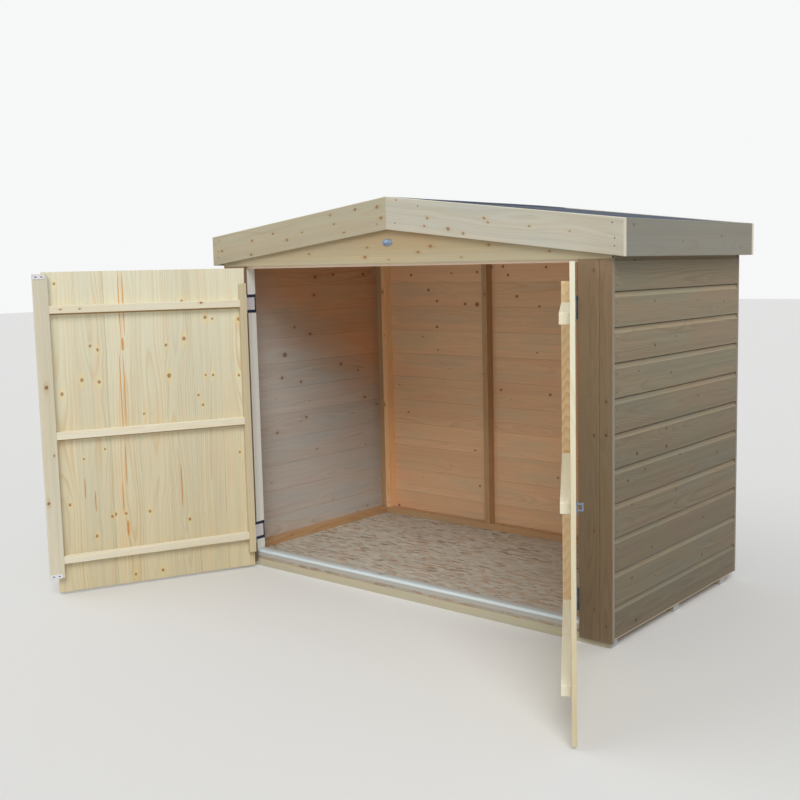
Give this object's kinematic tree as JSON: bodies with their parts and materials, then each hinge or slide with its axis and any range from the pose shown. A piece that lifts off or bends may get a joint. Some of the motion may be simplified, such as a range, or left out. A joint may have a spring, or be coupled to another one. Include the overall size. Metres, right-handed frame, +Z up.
{
  "type": "bike shelter",
  "caption": "Low timber bike shelter with an apex felt roof, shiplap walls, a boarded floor and a pair of ledged front doors that swing open on butt hinges.",
  "frame": {"origin": "on the ground under the middle of the body, at the underside of the middle floor bearer", "axes": "+X to the right seen from the front, +Y to the back wall, +Z up"},
  "size_m": [2.3976, 1.8227, 1.552],
  "materials": {
    "pressure_treated": "rough sawn, treated",
    "strand_board": "raw strand board",
    "frame_timber": "planed softwood",
    "trim_timber": "planed softwood",
    "gable_timber": "planed softwood",
    "cladding": "planed softwood, treated",
    "barge_timber": "planed softwood",
    "door_timber": "planed softwood",
    "ledge_timber": "planed softwood",
    "roof_felt": "mineral felt, matt",
    "zinc": "zinc plated"
  },
  "bodies": {
    "shed": {"floor_bearers": "pressure_treated", "floor_panel": "strand_board", "front_sill": "frame_timber", "front_posts": "frame_timber", "front_lintel": "frame_timber", "front_boards": "trim_timber", "front_trims": "trim_timber", "gable_board_front": "gable_timber", "gable_frame_front": "frame_timber", "cladding_left": "cladding", "cladding_right": "cladding", "cladding_back": "cladding", "rear_trims": "trim_timber", "studs_left": "frame_timber", "rails_left": "frame_timber", "studs_right": "frame_timber", "rails_right": "frame_timber", "studs_back": "frame_timber", "rails_back": "frame_timber", "gable_frame_back": "frame_timber", "ridge_beam": "frame_timber", "roof_panel_left": "strand_board", "roof_panel_right": "strand_board", "felt_left": "roof_felt", "felt_right": "roof_felt", "felt_ridge": "roof_felt", "bargeboard_front_left": "barge_timber", "bargeboard_front_right": "barge_timber", "bargeboard_back_left": "barge_timber", "bargeboard_back_right": "barge_timber", "fascia_left": "barge_timber", "fascia_right": "barge_timber", "hinge_plates_left": "zinc", "hinge_plates_right": "zinc"},
    "left_door": {"door_left_boards": "door_timber", "door_left_ledges": "ledge_timber", "door_left_batten": "ledge_timber", "door_left_stile": "ledge_timber", "door_left_hinges": "zinc", "door_left_plates": "zinc"},
    "right_door": {"door_right_boards": "door_timber", "door_right_ledges": "ledge_timber", "door_right_batten": "ledge_timber", "door_right_hinges": "zinc", "door_right_staple": "zinc"}
  },
  "joints": [
    {"name": "left_door_hinge", "type": "hinge", "parent": "shed", "child": "left_door", "pos_m": [-0.816, -0.513, 0.656], "axis": [0, 0, 1], "range_deg": [-65, 115]},
    {"name": "right_door_hinge", "type": "hinge", "parent": "shed", "child": "right_door", "pos_m": [0.816, -0.513, 0.656], "axis": [0, 0, 1], "range_deg": [-121.5, 58.5]}
  ]
}
